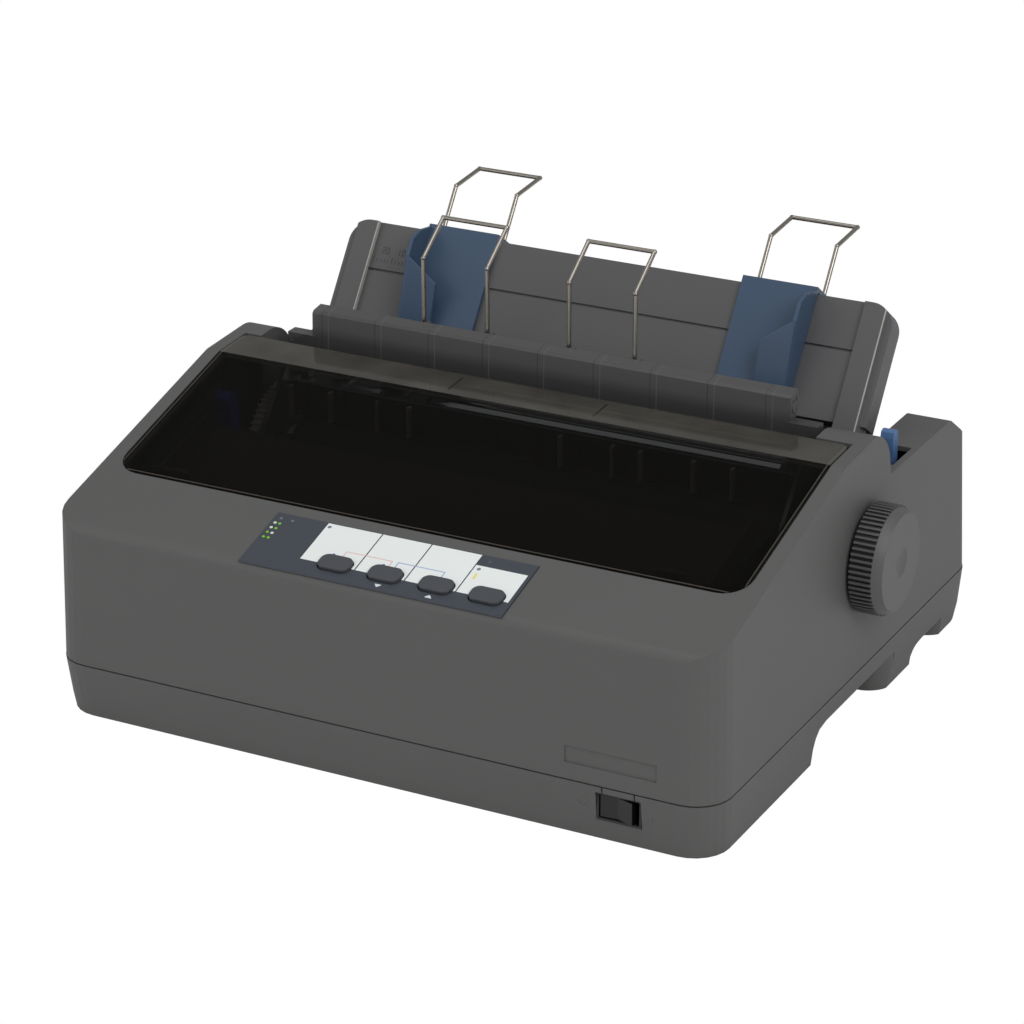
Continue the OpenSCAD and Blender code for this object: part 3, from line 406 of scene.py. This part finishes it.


# Smoked cover: nearly black over the slope, with the printing bay just showing through it, and a duller band
# behind the bend painted patchy grey as a reflection of the sky.
def smoke_material():
    made = clear("smoke", "#0d0c0a", 0.08, 0.6)
    tree, shader = made.node_tree, made.node_tree.nodes["Principled BSDF"]
    spot = add(tree, "ShaderNodeTexCoord").outputs["Object"]
    axes = add(tree, "ShaderNodeSeparateXYZ", Vector=spot)
    band = above(tree, axes.outputs["Y"], row_y(-11.3))
    cloud = add(tree, "ShaderNodeTexNoise", Vector=spot, Scale=38.0, Detail=4.0)
    # painted reflection: patchy grey noise over the band behind the bend
    painted_reflection = mixed(tree, cloud.outputs["Fac"], linear("#262521"), linear("#57554e"))
    tone = mixed(tree, band, linear("#0d0c0a"), painted_reflection)
    # painted highlight where the rounded rim would catch the light, along the front and both sides
    rim_highlight = within(tree, axes.outputs["Y"], row_y(-103.7), 0.3 * MM)
    for x in (156.6, -156.6):
        rim_highlight = either(tree, rim_highlight, within(tree, axes.outputs["X"], row_x(x), 0.3 * MM))
    tree.links.new(mixed(tree, rim_highlight, tone, linear("#605c55")), shader.inputs["Base Color"])
    gleam = add(tree, "ShaderNodeMapRange", Value=band, To_Min=0.06, To_Max=0.3)
    tree.links.new(gleam.outputs["Result"], shader.inputs["Specular IOR Level"])
    see = add(tree, "ShaderNodeMapRange", Value=band, To_Min=0.6, To_Max=0.88)
    tree.links.new(see.outputs["Result"], shader.inputs["Alpha"])
    return made


smoke = smoke_material()
inner_dark = plastic("inner_dark", "#3a3632", 0.5, 0.5, 0.012, 0.05, 0.3)


# Tension unit: smoke grey and half clear, painted lighter towards the top as light from above, with each
# inner rib drawn as a painted highlight line beside a painted shadow line.
def tension_material():
    made = clear("tension_smoke", "#494949", 0.3, 0.9, 0.4)
    tree, shader = made.node_tree, made.node_tree.nodes["Principled BSDF"]
    spot = add(tree, "ShaderNodeTexCoord").outputs["Object"]
    axes = add(tree, "ShaderNodeSeparateXYZ", Vector=spot)
    # painted light: the colour grows lighter towards the top, as light from above
    painted_top_light = add(tree, "ShaderNodeMapRange", Value=axes.outputs["Z"], From_Min=136 * MM, From_Max=142 * MM)
    tone = mixed(tree, painted_top_light.outputs["Result"], linear("#434343"), linear("#4f4f4f"))
    # at each rib a painted shadow line (dark) sits 3.4 mm to one side of a painted highlight line (light)
    for code, off in (("#373737", -3.4), ("#616161", 0.0)):
        painted_rib_lines = 0.0
        for i in range(-4, 5):
            painted_line = within(tree, axes.outputs["X"], row_x(29 * i + off), 0.22 * MM)
            painted_rib_lines = either(tree, painted_rib_lines, painted_line)
        tone = mixed(tree, painted_rib_lines, tone, linear(code))
    tree.links.new(tone, shader.inputs["Base Color"])
    return made


tension_smoke = tension_material()


# Ribbon cartridge: black shell, and a woven inked strip between its arms.
def cartridge_material():
    made, tree, shader, spot = start("cartridge")
    axes = add(tree, "ShaderNodeSeparateXYZ", Vector=spot)
    strip = above(tree, axes.outputs["Y"], row_y(-0.9))
    weave = add(tree, "ShaderNodeTexWave", {"bands_direction": "Z"}, Vector=spot, Scale=1400.0)
    tone = finish_surface(tree, shader, spot, linear("#202022"), 0.34, 0.5, 0.008, 0.05, 0.4)
    cloth = mixed(tree, weave.outputs["Fac"], linear("#131318"), linear("#22222b"))
    tree.links.new(mixed(tree, strip, tone, cloth), shader.inputs["Base Color"])
    return made


cartridge = cartridge_material()


# Control panel film: slate blue, four bare white fields with thin bracket lines and a yellow mark.
def panel_material():
    made, tree, shader, spot = start("panel_film")
    local = add(tree, "ShaderNodeMapping", {"vector_type": "TEXTURE"}, Vector=spot,
                Location=PLACE @ Vector(SLOPE_FOOT), Rotation=(math.radians(SLOPE_DEG), 0, 0))
    axes = add(tree, "ShaderNodeSeparateXYZ", Vector=local.outputs[0])
    x, y = axes.outputs["X"], axes.outputs["Y"]
    tone = finish_surface(tree, shader, spot, linear("#3d424b"), 0.4, 0.6, 0.003, 0.03, 0.15)

    def paint(base, mask, code):
        return mixed(tree, mask, base, linear(code))

    for x0, x1, y1 in ((-39.2, -12.0, -7.6), (-11.4, 12.8, -7.6), (13.4, 38.0, -7.6), (38.6, 63.8, -14.6)):
        tone = paint(tone, rect(tree, x, y, x0, x1, -34, y1), "#eef3f1")
    pink = ((-21.5, 2, -23.8, -23.3), (-21.5, -21, -28, -23.5), (1.5, 2, -28, -23.5))
    blue = ((4.5, 28, -23.8, -23.3), (4.5, 5, -28, -23.5), (27.5, 28, -28, -23.5))
    for lines, code in ((pink, "#e6b3b4"), (blue, "#8fa5d8"), (((41, 42.2, -24, -20),), "#efe27a")):
        for x0, x1, y0, y1 in lines:
            tone = paint(tone, rect(tree, x, y, x0, x1, y0, y1), code)
    for cx, cy, r, code in ((-37.5, -10, 0.95, "#7c8087"), (41, -17, 0.95, "#7c8087"),
                            (-26, -27, 0.7, "#4d5fae"), (-1, -27, 0.7, "#4d5fae"),
                            (-62, -10.8, 0.75, "#6b7178"), (-56, -11, 0.75, "#6b7178"),
                            (43.4, -11, 0.6, "#59606b")):
        tone = paint(tone, disc(tree, x, y, cx, cy, r), code)
    # two plain arrow heads below the middle buttons
    for cx, up in ((3.3, False), (28.6, True)):
        for step in range(4):
            wide = 0.4 * (4 - step if up else step + 1)
            low = -41.6 + step * 0.45
            tone = paint(tone, rect(tree, x, y, cx - wide, cx + wide, low, low + 0.5), "#dfe3e6")
    tree.links.new(tone, shader.inputs["Base Color"])
    return made


panel_film = panel_material()


# Indicator dots: two white ones at the upper left, one at the lower right, and the rest green.
def lamp_material():
    made, tree, shader, spot = start("lamps")
    axes = add(tree, "ShaderNodeSeparateXYZ", Vector=spot)
    left = below(tree, axes.outputs["X"], row_x(-61.9))
    high = above(tree, axes.outputs["Y"], row_y(-124.0))
    third = within(tree, axes.outputs["Y"], row_y(-125.7), 1.6 * MM)
    right = reckon(tree, "SUBTRACT", 1.0, left)
    white = either(tree, both(tree, left, high), both(tree, third, right))
    tone = mixed(tree, white, linear("#7cc23e"), linear("#e9ece8"))
    fine = finish_surface(tree, shader, spot, linear("#8cc850"), 0.25, 2.0, 0.002, 0.02, 0.3)
    tree.links.new(mixed(tree, 0.85, fine, tone), shader.inputs["Base Color"])
    return made


lamps = lamp_material()

FINISH = {
    "lower_case": case_grey, "upper_case": case_grey, "rubber_feet": rubber, "case_screws": screw_steel,
    "chassis_plate": steel, "side_plate_left": steel, "side_plate_right": steel, "platen_bushes": natural,
    "guide_shafts": shaft_steel, "carriage_rail": steel, "paper_guide": black_dull, "rear_tray": tray_grey,
    "feed_motor": motor_metal, "carriage_motor": motor_metal, "drive_belt": rubber, "main_board": board_green,
    "power_supply": board_brown, "ac_inlet": black, "interface_ports": alloy, "panel_board": board_green,
    "panel_overlay": panel_film, "status_lights": lamps, "switch_housing": black, "hinge_pins": shaft_steel,
    "ribbon_cartridge": cartridge, "platen_roller": platen_rubber, "platen_shaft": shaft_steel,
    "platen_gear": natural, "paper_knob": knob, "feed_pinion": brass, "idler_gear": natural,
    "tractor_shaft": shaft_steel, "tractor_left": black_dull, "tractor_right": black_dull,
    "sprocket_left": natural, "sprocket_right": natural, "tractor_lid_left": black_dull,
    "tractor_lid_right": black_dull, "print_carriage": black, "print_head": alloy,
    "belt_drive_pulley": brass, "belt_idler_pulley": natural, "ribbon_knob": navy, "smoked_cover": smoke,
    "cover_inner_panel": inner_dark, "tension_unit": tension_smoke, "tension_wires": wire_nickel,
    "tension_rollers": natural, "paper_support": support_grey, "guide_left": guide_blue,
    "guide_right": guide_blue, "guide_wire_left": wire_nickel, "guide_wire_right": wire_nickel,
    "release_lever": lever_blue, "thickness_lever": navy, "button_1": button_grey, "button_2": button_grey,
    "button_3": button_grey, "button_4": button_grey, "power_rocker": rocker_black,
}
for name, material in FINISH.items():
    cad[name].data.materials.clear()
    cad[name].data.materials.append(material)

# ---- pieces ----


# Power marks: a ring and a bar moulded beside the switch on the leaning front of the lower case.
def power_marks(bm):
    lean = Matrix.Rotation(math.radians(-8), 4, "X")
    upright = PLACE @ Matrix.Translation((137.2, -147.85, 17.2)) @ lean
    ring(bm, (105, -147.85, 17.2), (0, 1, 0.12), 2.1, 0.16)
    block(bm, -0.2, 0.2, -0.16, 0.16, -2.2, 2.2, upright)


piece("power_marks", "base", plastic("mark_grey", "#6b6b6b", 0.5, 0.5, 0.01), power_marks)


# Paper scale: raised ticks and two plain numbers on the paper support, beside the left guide.
DIGITS = {
    "0": ((0, 0, 1.6, 0.3), (0, 2.7, 1.6, 3), (0, 0, 0.3, 3), (1.3, 0, 1.6, 3)),
    "1": ((0.7, 0, 1.0, 3),),
    "2": ((0, 2.7, 1.6, 3), (1.3, 1.5, 1.6, 3), (0, 1.35, 1.6, 1.65), (0, 0, 0.3, 1.5), (0, 0, 1.6, 0.3)),
}


def paper_scale(bm):
    for i in range(10):
        x = -128 + i * 2.0
        tall = 3.0 if i % 5 == 0 else 1.6
        block(bm, x, x + 0.3, 42, 42 + tall, 9.5, 9.75, SUPPORT)
    for text, x in (("20", -124.4), ("10", -115.6)):
        for k, digit in enumerate(text):
            for x0, y0, x1, y1 in DIGITS[digit]:
                block(bm, x + k * 2.3 + x0, x + k * 2.3 + x1, 46.6 + y0, 46.6 + y1, 9.5, 9.75, SUPPORT)


piece("paper_scale", "paper_support", support_grey, paper_scale)


# Cover catches: two small tabs inside the cover's front edge, seen through it as lighter marks.
def cover_clips(bm):
    for x0, x1 in ((-143.6, -123.4), (113.3, 127.1)):
        block(bm, x0, x1, 9, 11, -5.5, -2.3, SLOPE)
        block(bm, x0, x1, 9, 13.5, -6.2, -5.5, SLOPE)


piece("cover_clips", "cover", plastic("clip_grey", "#4d4b47", 0.4, 0.5, 0.01), cover_clips)


# Tall pale ribs of the paper guide, seen through the smoked cover as thin streaks.
def bay_ribs(bm):
    for x in (-133, -111, -85, -68, 12.6, 39.7, 54, 81, 100.5):
        block(bm, x - 0.7, x + 0.7, 10.6, 13.9, 97.2, 112.4)


piece("bay_ribs", "base", plastic("rib_grey", "#b5b1a6", 0.35, 0.5, 0.01), bay_ribs)


# Screws that hold the side plates, the motors and the guide rail.
PLATE_SCREWS = ((-60, 20), (60, 20), (-62, 55), (62, 50), (116, 72))
MOTOR_SCREWS = ((-6, 45.3), (36, 45.3))
repeat("screws_right", "base", screw_steel, [(136.0, y, z) for y, z in PLATE_SCREWS], (0, 90, 0), screw_head)
repeat("screws_left", "base", screw_steel,
       [(-136.0, y, z) for y, z in PLATE_SCREWS + MOTOR_SCREWS], (0, -90, 0), screw_head)
repeat("screws_rail", "base", screw_steel, [(x, -62, 62.5) for x in (-128, 128)], (0, 0, 0), screw_head)
repeat("screws_cartridge", "base", screw_steel,
       [(x, -90, 96.0) for x in (-118, -40, 40, 118)], (0, 0, 0), screw_head)


# Toothed inside of the drive belt, along its two straight runs.
def belt_tooth(bm):
    block(bm, -0.5, 0.5, -0.35, 0.35, -2.8, 2.8, SMALL)


repeat("belt_teeth", "base", rubber,
       [(-104 + i * 2.032, y, 46) for i in range(103) for y in (-38.1, -49.9)], (0, 0, 0), belt_tooth)


# Board components: resistors and chip legs on the main board.
def resistor(bm):
    tube(bm, (-3, 0, 1.2), (3, 0, 1.2), 1.1, 12, None, SMALL)
    for x in (-4.2, 4.2):
        tube(bm, (x, 0, 0), (x, 0, 1.2), 0.3, 6, None, SMALL)
        tube(bm, (x, 0, 1.2), (x * 0.7, 0, 1.2), 0.3, 6, None, SMALL)


def chip_leg(bm):
    block(bm, -0.25, 0.25, -0.9, 0.9, 0, 0.3, SMALL)
    block(bm, -0.25, 0.25, -0.3, 0.3, 0.3, 2.2, SMALL)


repeat("resistors", "base", plastic("resistor_tan", "#c9a36b", 0.4, 0.8, 0.006),
       [(x, y, 13.6) for x in (-58, -46) for y in range(84, 132, 6)]
       + [(x, 132, 13.6) for x in range(-30, 60, 12)],
       (0, 0, 0), resistor)
repeat("chip_legs", "base", screw_steel,
       [(-38 + i * 2.54, y, 13.6) for i in range(11) for y in (87, 119)]
       + [(21.5 + i * 2.54, y, 13.6) for i in range(9) for y in (91, 105)], (0, 0, 0), chip_leg)


# Contacts inside the interface ports.
def contact(bm):
    block(bm, -0.35, 0.35, -1.6, 1.2, -0.25, 0.25, SMALL)


repeat("port_contacts", "base", brass,
       [(-119 + i * 2.16, 145.7, z) for i in range(28) for z in (41.0, 46.0)]
       + [(-40 + i * 2.5, 145.7, z) for i in range(9) for z in (40.2, 44.4)], (0, 0, 0), contact)


# Transformer windings on the power supply.
def windings(bm):
    for i in range(9):
        z = 20 + i * 2.2
        block(bm, -133.4, -94.6, -129.2, -88.8, z, z + 1.5)


piece("windings", "base", copper, windings)


# Blank rating plate under the floor and bare label on the ribbon cartridge.
def rating_plate(bm):
    block(bm, -40, 40, 20, 60, 2.75, 3.0)


piece("rating_plate", "base", film, rating_plate)


def cartridge_label(bm):
    block(bm, -60, 60, -92, -74, 95.98, 96.15)


label_dark = plastic("label_dark", "#35353a", 0.5, 0.4, 0.004)
piece("cartridge_label", "base", label_dark, cartridge_label)


# Print head nose: the tips of nine needles in a small brass guide.
def head_nose(bm):
    for i in range(9):
        tube(bm, (0, -1.75, 79.4 + i * 0.35), (0, -1.35, 79.4 + i * 0.35), 0.14, 8)
    block(bm, -2.4, 2.4, -1.62, -1.42, 78.6, 83.2)


piece("head_nose", "carriage", brass, head_nose)

# ---- light, floor and background ----


def lamp(name, place, aim, size, power, tint=(1, 1, 1)):
    made = bpy.data.objects.new(name, bpy.data.lights.new(name, "AREA"))
    scene.collection.objects.link(made)
    made.data.shape = "RECTANGLE"
    made.data.size, made.data.size_y = size
    made.data.energy = power
    made.data.color = tint
    made.location = place
    made.rotation_euler = (Vector(aim) - Vector(place)).to_track_quat("-Z", "Y").to_euler()
    return made


lamp("key", (2.3, -1.2, 2.2), (0, 0, 0.08), (1.6, 1.6), 40)
lamp("fill", (-2.2, -1.8, 1.3), (0, 0, 0.08), (2.0, 1.6), 14)
lamp("top", (0.1, -0.3, 2.6), (0, 0, 0.1), (2.2, 1.6), 18)

world = bpy.data.worlds.new("studio")
scene.world = world
world.use_nodes = True
sky = world.node_tree
path = add(sky, "ShaderNodeLightPath")
sky.links.new(mixed(sky, path.outputs["Is Camera Ray"], (0.34, 0.34, 0.345, 1), (1, 1, 1, 1)),
              sky.nodes["Background"].inputs["Color"])

floor_mesh = bpy.data.meshes.new("floor")
floor_mesh.from_pydata([(-6, -6, 0), (6, -6, 0), (6, 6, 0), (-6, 6, 0)], [], [(0, 1, 2, 3)])
floor = bpy.data.objects.new("floor", floor_mesh)
scene.collection.objects.link(floor)
floor_white, floor_tree, floor_shader, _ = start("floor_white")
floor_shader.inputs["Base Color"].default_value = (0.92, 0.92, 0.92, 1)
floor_shader.inputs["Roughness"].default_value = 0.9
floor_shader.inputs["Specular IOR Level"].default_value = 0.1
floor_path = add(floor_tree, "ShaderNodeLightPath")
floor_glow = add(floor_tree, "ShaderNodeEmission", Color=(1, 1, 1, 1), Strength=1.0)
floor_mix = add(floor_tree, "ShaderNodeMixShader", _0=floor_path.outputs["Is Camera Ray"],
                _1=floor_shader.outputs[0], _2=floor_glow.outputs[0])
floor_tree.links.new(floor_mix.outputs[0], floor_tree.nodes["Material Output"].inputs["Surface"])
floor_mesh.materials.append(floor_white)
